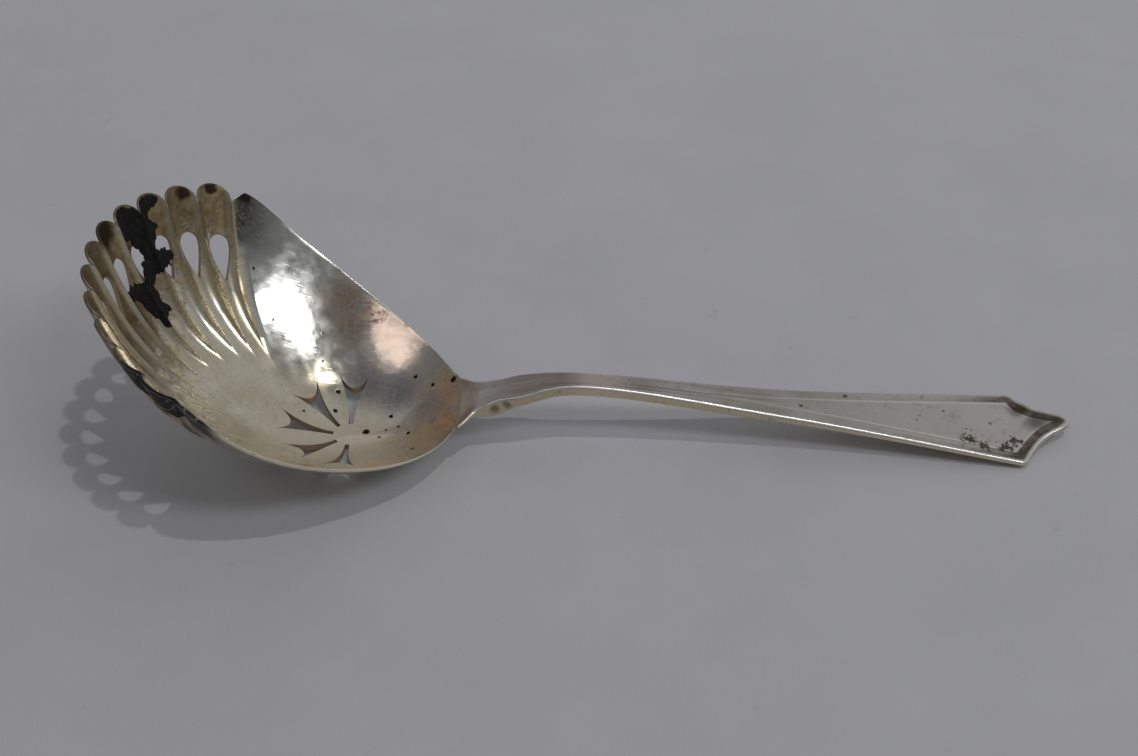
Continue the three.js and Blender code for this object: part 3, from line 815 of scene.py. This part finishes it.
def bowlMaterial():  # pressed sheet silver: worn bright in the middle, brown sulphide tarnish on the lobes, painted reflections and highlights on the walls and rim
    add, finish, place, (broad, middle, fine, speckle) = newMaterial("tarnishedSilverSheet", sheet["grains"])
    way = add("UVMap", {"uv_map": "way"})
    around, share = (add("SeparateXYZ", {}, way, out=i) for i in (0, 1))
    lobe = add("Math", absolute, around)
    outside = add("MapRange", soft, share, 1.5, 1.6)
    cut = add("MapRange", soft, share, -0.5, -0.6)
    crown = between(add, (share, 1.0, 1.03), (share, 1.6, 1.5))
    inside = between(add, (share, 1.6, 1.5), (share, -0.6, -0.5))
    up = add("Math", multiplyAdd, outside, -outsideMark, share)
    inFan = add("MapRange", soft, lobe, *sheet["fanEdge"])
    rib = add("MapRange", soft, add("Math", {"operation": "PINGPONG"}, around, 0.5), 0.32, 0.46)
    mottle = add("Math", multiply, add("Math", minus, middle, 0.5), 0.45)
    mottledUp = add("Math", plus, up, mottle)
    edge = add("Math", minus, mottledUp, add("MapRange", soft, around, *sheet["brownStart"]))
    brown = between(add, (edge, -0.04, 0.12), (lobe, *sheet["fanEdge"]), (up, 0.5, 0.82, 0.55, 1.0))
    brown = add("Math", multiply, brown, add("MapRange", {}, rib, 0.0, 1.0, 1.0, 0.35))
    level = weighted(add, up, (mottle, 0.4))
    corner = between(add, (level, 0.8, 0.92), (lobe, *sheet["cornerFade"]), (fine, 0.42, 0.66, 1.0, 0.6))
    corner = add("Math", multiply, corner, add("MapRange", {}, inFan, 0.0, 1.0, 0.85, 0.0))
    lobeTone = add("Mix", rgba, add("MapRange", soft, middle, 0.35, 0.65), "#8d7d5d", "#bda981")
    lobeTone = add("Mix", rgba, add("MapRange", soft, fine, 0.46, 0.66, 0.0, 0.55), lobeTone, "#5d4e34")
    lobeTone = add("Mix", rgba, add("MapRange", soft, around, *sheet["leftLobes"]), lobeTone, "#65553a")
    uneven = ragged(add, place, 1.4, 1.6)
    matt = add("Math", multiply, spotted(add, uneven, rubbed, 0.2), inside)
    color = add("Mix", rgba, add("MapRange", soft, broad, 0.35, 0.65), "#dad0b4", "#ece7d4")
    for mask, tone in (
        (add("MapRange", soft, middle, 0.5, 0.8, 0.0, 0.35), "#baad90"),
        (between(add, (around, *sheet["farWall"]), (share, 0.3, 0.6)), "#dbdad3"),
        # painted reflection: pale cream on the near wall
        (add("MapRange", soft, around, *sheet["nearWallPaintedReflection"]), "#f3ead0"),
        (corner, "#3d3c35"),
        (add("MapRange", soft, fine, 0.5, 0.75, 0.0, 0.3), "#8a8171"),
        (brown, lobeTone),
        (add("Math", multiply, matt, 0.5), "#f3f0e2"),
    ):
        color = add("Mix", rgba, mask, color, tone)
    grainy = add("Math", multiply, add("Math", plus, middle, fine), 0.5)
    dull = 0.0
    for name, (tone, strength, sharp, spots) in stains.items():
        mask = add("Math", multiply, spotted(add, uneven, spots, sharp), inside)
        patches = add("MapRange", soft, grainy, 0.38, 0.54, 0.3 * strength, strength)
        mask = add("Math", multiply, mask, patches)
        color = add("Mix", rgba, mask, color, tone)
        dull = mask if name == "umber" else dull
    dark = spotted(add, ragged(add, place, 0.5, 0.6), pits, 0.5)
    dark = add("Math", largest, dark, add("Math", multiply, spotted(add, uneven, darkTips, 0.5), 0.9))
    dark = add("Math", multiply, dark, inside)
    dark = add("Math", largest, dark, add("MapRange", soft, speckle, 0.72, 0.8, 0.0, 0.6))
    # worn rim crown with a painted highlight, strongest on the far side
    wornRimAndPaintedHighlight = between(add, (around, *sheet["wornRimAndPaintedHighlight"]), (lobe, *sheet["wornRimAndPaintedHighlightEnd"]))
    black = add("Math", multiply, add("MapRange", soft, mottledUp, 0.84, 0.92), outside)
    black = add("Math", largest, black, add("MapRange", soft, up, 0.97, 1.0))
    blackest = between(add, *((around, *limits) for limits in sheet["blackAround"]), (middle, 0.3, 0.42))
    black = add("Math", multiply, black, blackest)
    for mask, tone in (
        (dark, "#2b211a"),
        (add("Math", multiply, wornRimAndPaintedHighlight, crown), "#f7f7f7"),
        (add("Math", multiply, add("Math", multiply, crown, inFan), 0.5), "#5a4a34"),
        (black, "#1f1a16"),
        (cut, "#9f8a73"),
    ):
        color = add("Mix", rgba, mask, color, tone)
    crusted = add("Math", largest, black, cut)
    gloss = weighted(
        add, add("MapRange", {}, middle, 0.3, 0.7, 0.1, 0.24), (dark, 0.3), (brown, 0.16), (inFan, 0.09),
        (crown, 0.09), (dull, 0.4), (matt, 0.24), (crusted, 0.35),
    )
    height = weighted(
        add, add("Math", multiply, fine, add("Math", plus, 0.1, brown)), (broad, 4.0), (dark, -0.3),
        (scratches(add, place, 0.5, scratchWidth, 9.0), -0.12),
        (scratches(add, place, 2.2, scratchWidth, 7.0), -0.12),
    )
    return finish({
        "Base Color": color,
        "Roughness": gloss,
        "Metallic": add("MapRange", {}, crusted, 0.0, 1.0, 1.0, 0.2),
        "Normal": add("Bump", {}, 1.0, sheet["bump"] * mm, 1.0, height),
    })


# Handle's finish: limits along it and in from its edge in mm, then a mask's values there if not 0 and 1
struck = {
    "grains": (12.0, 2.0, 0.4, 1.0),
    "cove": {"inset": ((0.55, 0.9), (2.3, 2.05)), "along": ((94.0, 106.0, 0.12, 1.0),)},
    # raised thread line painted near white: worn metal and a painted highlight
    "thread": {"inset": ((2.3, 2.42), (2.7, 2.58)), "along": ((46.0, 92.0, 0.0, 0.9),)},
    "stem": {"along": ((52.0, 36.0), (19.0, 28.0, 0.3, 0.9))},
    "narrow": {"along": ((22.0, 28.0), (82.0, 50.0))},
    # crest band painted pale pink: a painted highlight
    "crest": {"along": ((33.0, 38.0), (46.0, 40.0, 0.0, 0.6))},
    "threads": ((0.42, 40.0), (0.55, 50.0)),  # width and length of the stem's grooves and ridges
    "wornEdge": (0.5, 0.35),
    "paleEnd": (62.0, 88.0, 0.0, 0.6),
    "warmFoot": (20.5, 16.8, 0.0, 0.6),
    "bump": 0.02,
}
# Marks on the handle: x, y, z and radius in mm
flecks = (
    (71.1, -0.3, 6.7, 0.5), (78.5, 3.4, 5.6, 0.6), (91.1, 5.2, 3.7, 0.4), (94.2, 2.2, 3.3, 0.4),
    (89.6, -0.7, 4.0, 0.35), (101.5, 0.4, 2.2, 0.45), (52.1, 1.9, 9.6, 0.5),
)
clusters = (
    (97.6, -4.0, 2.8, 3.4), (99.6, -4.8, 2.5, 2.6), (103.4, -4.8, 2.0, 3.4), (105.0, -3.4, 1.7, 2.6),
    (25.4, 3.2, 10.8, 1.0),
)
smears = (
    (109.2, 0.6, 2.1, 3.2), (106.5, 4.2, 1.8, 2.4), (111.8, 0.0, 2.9, 1.4), (22.6, -3.1, 8.8, 1.3),
    (24.6, -3.1, 9.6, 1.2),
)


def handleMaterial():  # die-struck silver: grey film on the face, dark tarnish left in the border's cove, painted highlights on the crest, ridges and thread line, painted reflection on the side faces
    add, finish, place, (broad, middle, fine, coarse) = newMaterial("dieStruckSilver", struck["grains"])
    way = add("UVMap", {"uv_map": "way"})
    along, inset = (add("SeparateXYZ", {}, way, out=i) for i in (0, 1))
    facing = add("SeparateXYZ", {}, add("NewGeometry", {}, out=surfaceNormal), out=2)
    cove, thread, stem, narrow, crest = (
        between(
            add,
            *((inset, *limits) for limits in struck[name].get("inset", ())),
            *((along, *limits) for limits in struck[name]["along"]),
        )
        for name in ("cove", "thread", "stem", "narrow", "crest")
    )
    cove = add("Math", multiply, cove, add("MapRange", soft, middle, 0.25, 0.6, 0.65, 0.95))
    narrow = add("Math", multiply, narrow, add("MapRange", soft, facing, 0.5, 0.8))
    # ridge streaks, painted pale below, stand in for highlights on the stem's threads: painted highlight
    grooves, ridges = (
        add("Math", multiply, narrow, scratches(add, place, 0.0, *sizes)) for sizes in struck["threads"]
    )
    worn = between(add, (inset, *struck["wornEdge"]), (facing, 0.2, 0.5))
    uneven = ragged(add, place, 0.7, 0.9)
    patchy = weighted(add, 0.0, (coarse, 0.9), (fine, 0.6), (spotted(add, uneven, clusters, 0.0), 0.3))
    single = spotted(add, ragged(add, place, 0.4, 0.5), flecks, 0.3)
    spots = add("MapRange", soft, patchy, 0.92, 1.06, 0.0, 0.9)
    spots = add("Math", largest, spots, add("Math", multiply, single, 0.8))
    color = add("Mix", rgba, add("MapRange", soft, broad, 0.35, 0.65), "#b9b4aa", "#d0ccc4")
    for mask, tone in (
        (add("MapRange", soft, along, *struck["paleEnd"]), "#e2dfd6"),
        (stem, "#9f928b"),
        (add("MapRange", soft, along, *struck["warmFoot"]), "#b39c84"),
        (add("Math", multiply, grooves, 0.65), "#665c57"),
        # painted highlight along the ridge streaks
        (add("Math", multiply, ridges, 0.6), "#e6dcd7"),
        # painted highlight: pale pink band at the crest
        (crest, "#f2e2dc"),
        # side faces painted pale yellow: a painted reflection of the bright floor
        (add("MapRange", soft, facing, 0.75, 0.2, 0.0, 0.7), "#e6d6b0"),
        (add("MapRange", soft, middle, 0.52, 0.75, 0.0, 0.4), "#9d9482"),
        (cove, add("Mix", rgba, fine, "#40372f", "#7b6f62")),
        # thread line: worn metal, painted paler as a highlight
        (thread, "#f0ece4"),
        (add("Math", multiply, worn, 0.6), "#f7f7f5"),
        (add("Math", multiply, spotted(add, uneven, smears, 0.2), 0.7), "#4d3f33"),
        (spots, "#4a3925"),
    ):
        color = add("Mix", rgba, mask, color, tone)
    base = add("MapRange", {}, middle, 0.3, 0.7, 0.2, 0.32)
    height = weighted(
        add, 0.0, (broad, 3.0), (fine, 0.05), (ridges, 1.2), (grooves, -1.2), (spots, -0.4),
        (scratches(add, place, 0.15, scratchWidth, 10.0), -0.12),
        (scratches(add, place, 1.1, scratchWidth, 7.0), -0.12),
    )
    return finish({
        "Base Color": color,
        "Roughness": weighted(add, base, (worn, 0.08), (add("Math", largest, spots, cove), 0.2)),
        "Metallic": 1.0,
        "Normal": add("Bump", {}, 1.0, struck["bump"] * mm, 1.0, height),
    })


def solderMaterial():  # hard silver solder: duller and warmer than the sheet, slightly lumpy
    add, finish, _, (lumps,) = newMaterial("silverSolder", (0.8,))
    return finish({
        "Base Color": add("Mix", rgba, lumps, "#a2978c", "#b3a89b"),
        "Roughness": add("MapRange", soft, lumps, 0.3, 0.7, 0.28, 0.42),
        "Metallic": 1.0,
        "Normal": add("Bump", {}, 1.0, 0.04 * mm, 1.0, lumps),
    })


def crustMaterial():  # silver sulphide crust: matt black flakes with a little glint
    add, finish, _, (lumps, fine) = newMaterial("silverSulphideCrust", (1.0, 0.3))
    color = add("Mix", rgba, add("MapRange", soft, lumps, 0.35, 0.65), "#0b0a0a", "#1c1b1a")
    return finish({
        "Base Color": add("Mix", rgba, add("MapRange", soft, fine, 0.62, 0.75), color, "#3a332b"),
        "Roughness": add("MapRange", soft, fine, 0.3, 0.7, 0.5, 0.85),
        "Specular IOR Level": 0.25,
        "Normal": add("Bump", {}, 1.0, 0.15 * mm, 1.0, add("Math", plus, lumps, fine)),
    })


# Photograph's camera
camera = {
    "frameWidth": 1138,  # pixels
    "focal": 1907.2,  # pixels
    "place": (46.6, -231.3, 204.6),
    "azimuth": 3.01,  # degrees
    "tilt": 90 - 39.66,  # up from straight down
    "roll": -2.38,
    "sensor": 36,  # millimetres
    "clipStart": 10,
}


def makeCamera():
    data = bpy.data.cameras.new("photoCamera")
    data.sensor_width = camera["sensor"]
    data.lens = data.sensor_width * camera["focal"] / camera["frameWidth"]
    data.clip_start = camera["clipStart"] * mm
    stand = Matrix.Translation(Vector(camera["place"]) * mm)
    for key, axis in (("azimuth", "Z"), ("tilt", "X"), ("roll", "Z")):
        stand = stand @ Matrix.Rotation(math.radians(camera[key]), 4, axis)
    made = linked("photoCamera", data)
    made.matrix_world = stand
    bpy.context.scene.camera = made
    print("camera: lens", round(data.lens, 1))


# Plain studio: floor painted paler toward the back as painted light, one small key lamp, two soft lamps, grey
# surroundings that are paler on one side
studio = {
    "floor": "#c7c8cc",
    "floorPaintedLightFar": "#dddee2",
    "floorMark": "#85868a",
    "floorSize": 2400,
    "floorFade": (-120, 380),  # from near to far, over which the floor is painted paler as painted light
    "floorGrains": (30.0, 5.0, 0.6),  # mm
    "paleSide": (0.355, 0.912, 0.203),
    "paleEdge": (0.1, 0.6),
    "pale": "#9f9fa2",
    "dim": "#6e6f71",
    "lamps": {  # place, two sizes and turn in mm and degrees, power in watts, colour
        "key": ((380, -258, 1287), (30, 30), 0, 2.0, "#fffaf2"),
        "window": ((806, -605, 1137), (650, 270), 135, 3.6, "#f4f7ff"),
        "warm": ((-542, -608, 1282), (740, 340), 0, 0.6, "#ffe9e2"),
    },
}


def makeLamp(name, place, sizes, turn, power, color):
    data = bpy.data.lights.new(name, "AREA")
    data.shape = "ELLIPSE"
    data.size, data.size_y = (size * mm for size in sizes)
    data.energy = power
    data.color = linear(color)[:3]
    made = linked(name, data)
    spot = Vector(place) * mm
    aim = (-spot).to_track_quat("-Z", "Y").to_matrix() @ Matrix.Rotation(math.radians(turn), 3, "Z")
    made.matrix_world = Matrix.Translation(spot) @ aim.to_4x4()


def makeWorld():
    world = bpy.data.worlds.new("studio")
    world.use_nodes = True
    tree = world.node_tree
    around = addNode(tree, "ShaderNodeTexCoord", {})
    side = addNode(tree, "ShaderNodeVectorMath", {"operation": "DOT_PRODUCT"}, around, studio["paleSide"])
    share = addNode(tree, "ShaderNodeMapRange", soft, side, *studio["paleEdge"])
    shade = addNode(tree, "ShaderNodeMix", rgba, share, studio["dim"], studio["pale"])
    fill(tree, tree.nodes["Background"], {"Color": shade})
    bpy.context.scene.world = world


def floorMaterial():  # grey paper: matt, faintly mottled, painted paler toward the back as painted light
    add, finish, place, (broad, middle, fine) = newMaterial("greyPaper", studio["floorGrains"])
    near, far = (edge * mm for edge in studio["floorFade"])
    # painted light: the floor's colour grows paler toward the back
    back = add("MapRange", soft, add("SeparateXYZ", {}, place, out=1), near, far)
    back = add("Math", plus, back, add("MapRange", soft, broad, 0.3, 0.7, -0.1, 0.1))
    color = add("Mix", rgba, back, studio["floor"], studio["floorPaintedLightFar"])
    marks = add("MapRange", soft, middle, 0.68, 0.78, 0.0, 0.2)
    return finish({
        "Base Color": add("Mix", rgba, marks, color, studio["floorMark"]),
        "Roughness": add("MapRange", soft, fine, 0.3, 0.7, 0.8, 0.95),
        "Specular IOR Level": 0.2,
        "Normal": add("Bump", {}, 1.0, 0.05 * mm, 1.0, fine),
    })


def makeStudio():
    half = studio["floorSize"] / 2
    corners = [(x * half, y * half, 0) for x, y in ((-1, -1), (1, -1), (1, 1), (-1, 1))]
    floor = meshObject("floor", corners, [(0, 1, 2, 3)])
    floor.data.materials.append(floorMaterial())
    for name, settings in studio["lamps"].items():
        makeLamp(name, *settings)
    makeWorld()
    bpy.context.scene.view_settings.view_transform = "Standard"
    print("studio:", len(studio["lamps"]), "lamps")


bowlPiece = makeBowl(bowlMaterial())
handlePiece, footRing = makeHandle(handleMaterial())
filmPiece = makeFilm(footRing, solderMaterial())
crustPiece = makeCrust(crustMaterial())
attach(crustPiece, "root")
for piece, node, slot in ((bowlPiece, "bowl", "bowl_silver"), (handlePiece, "handle", "handle_silver"),
                          (filmPiece, "solder_seam", "silver_solder")):
    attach(piece, "root")
    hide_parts(node)
makeCamera()
makeStudio()
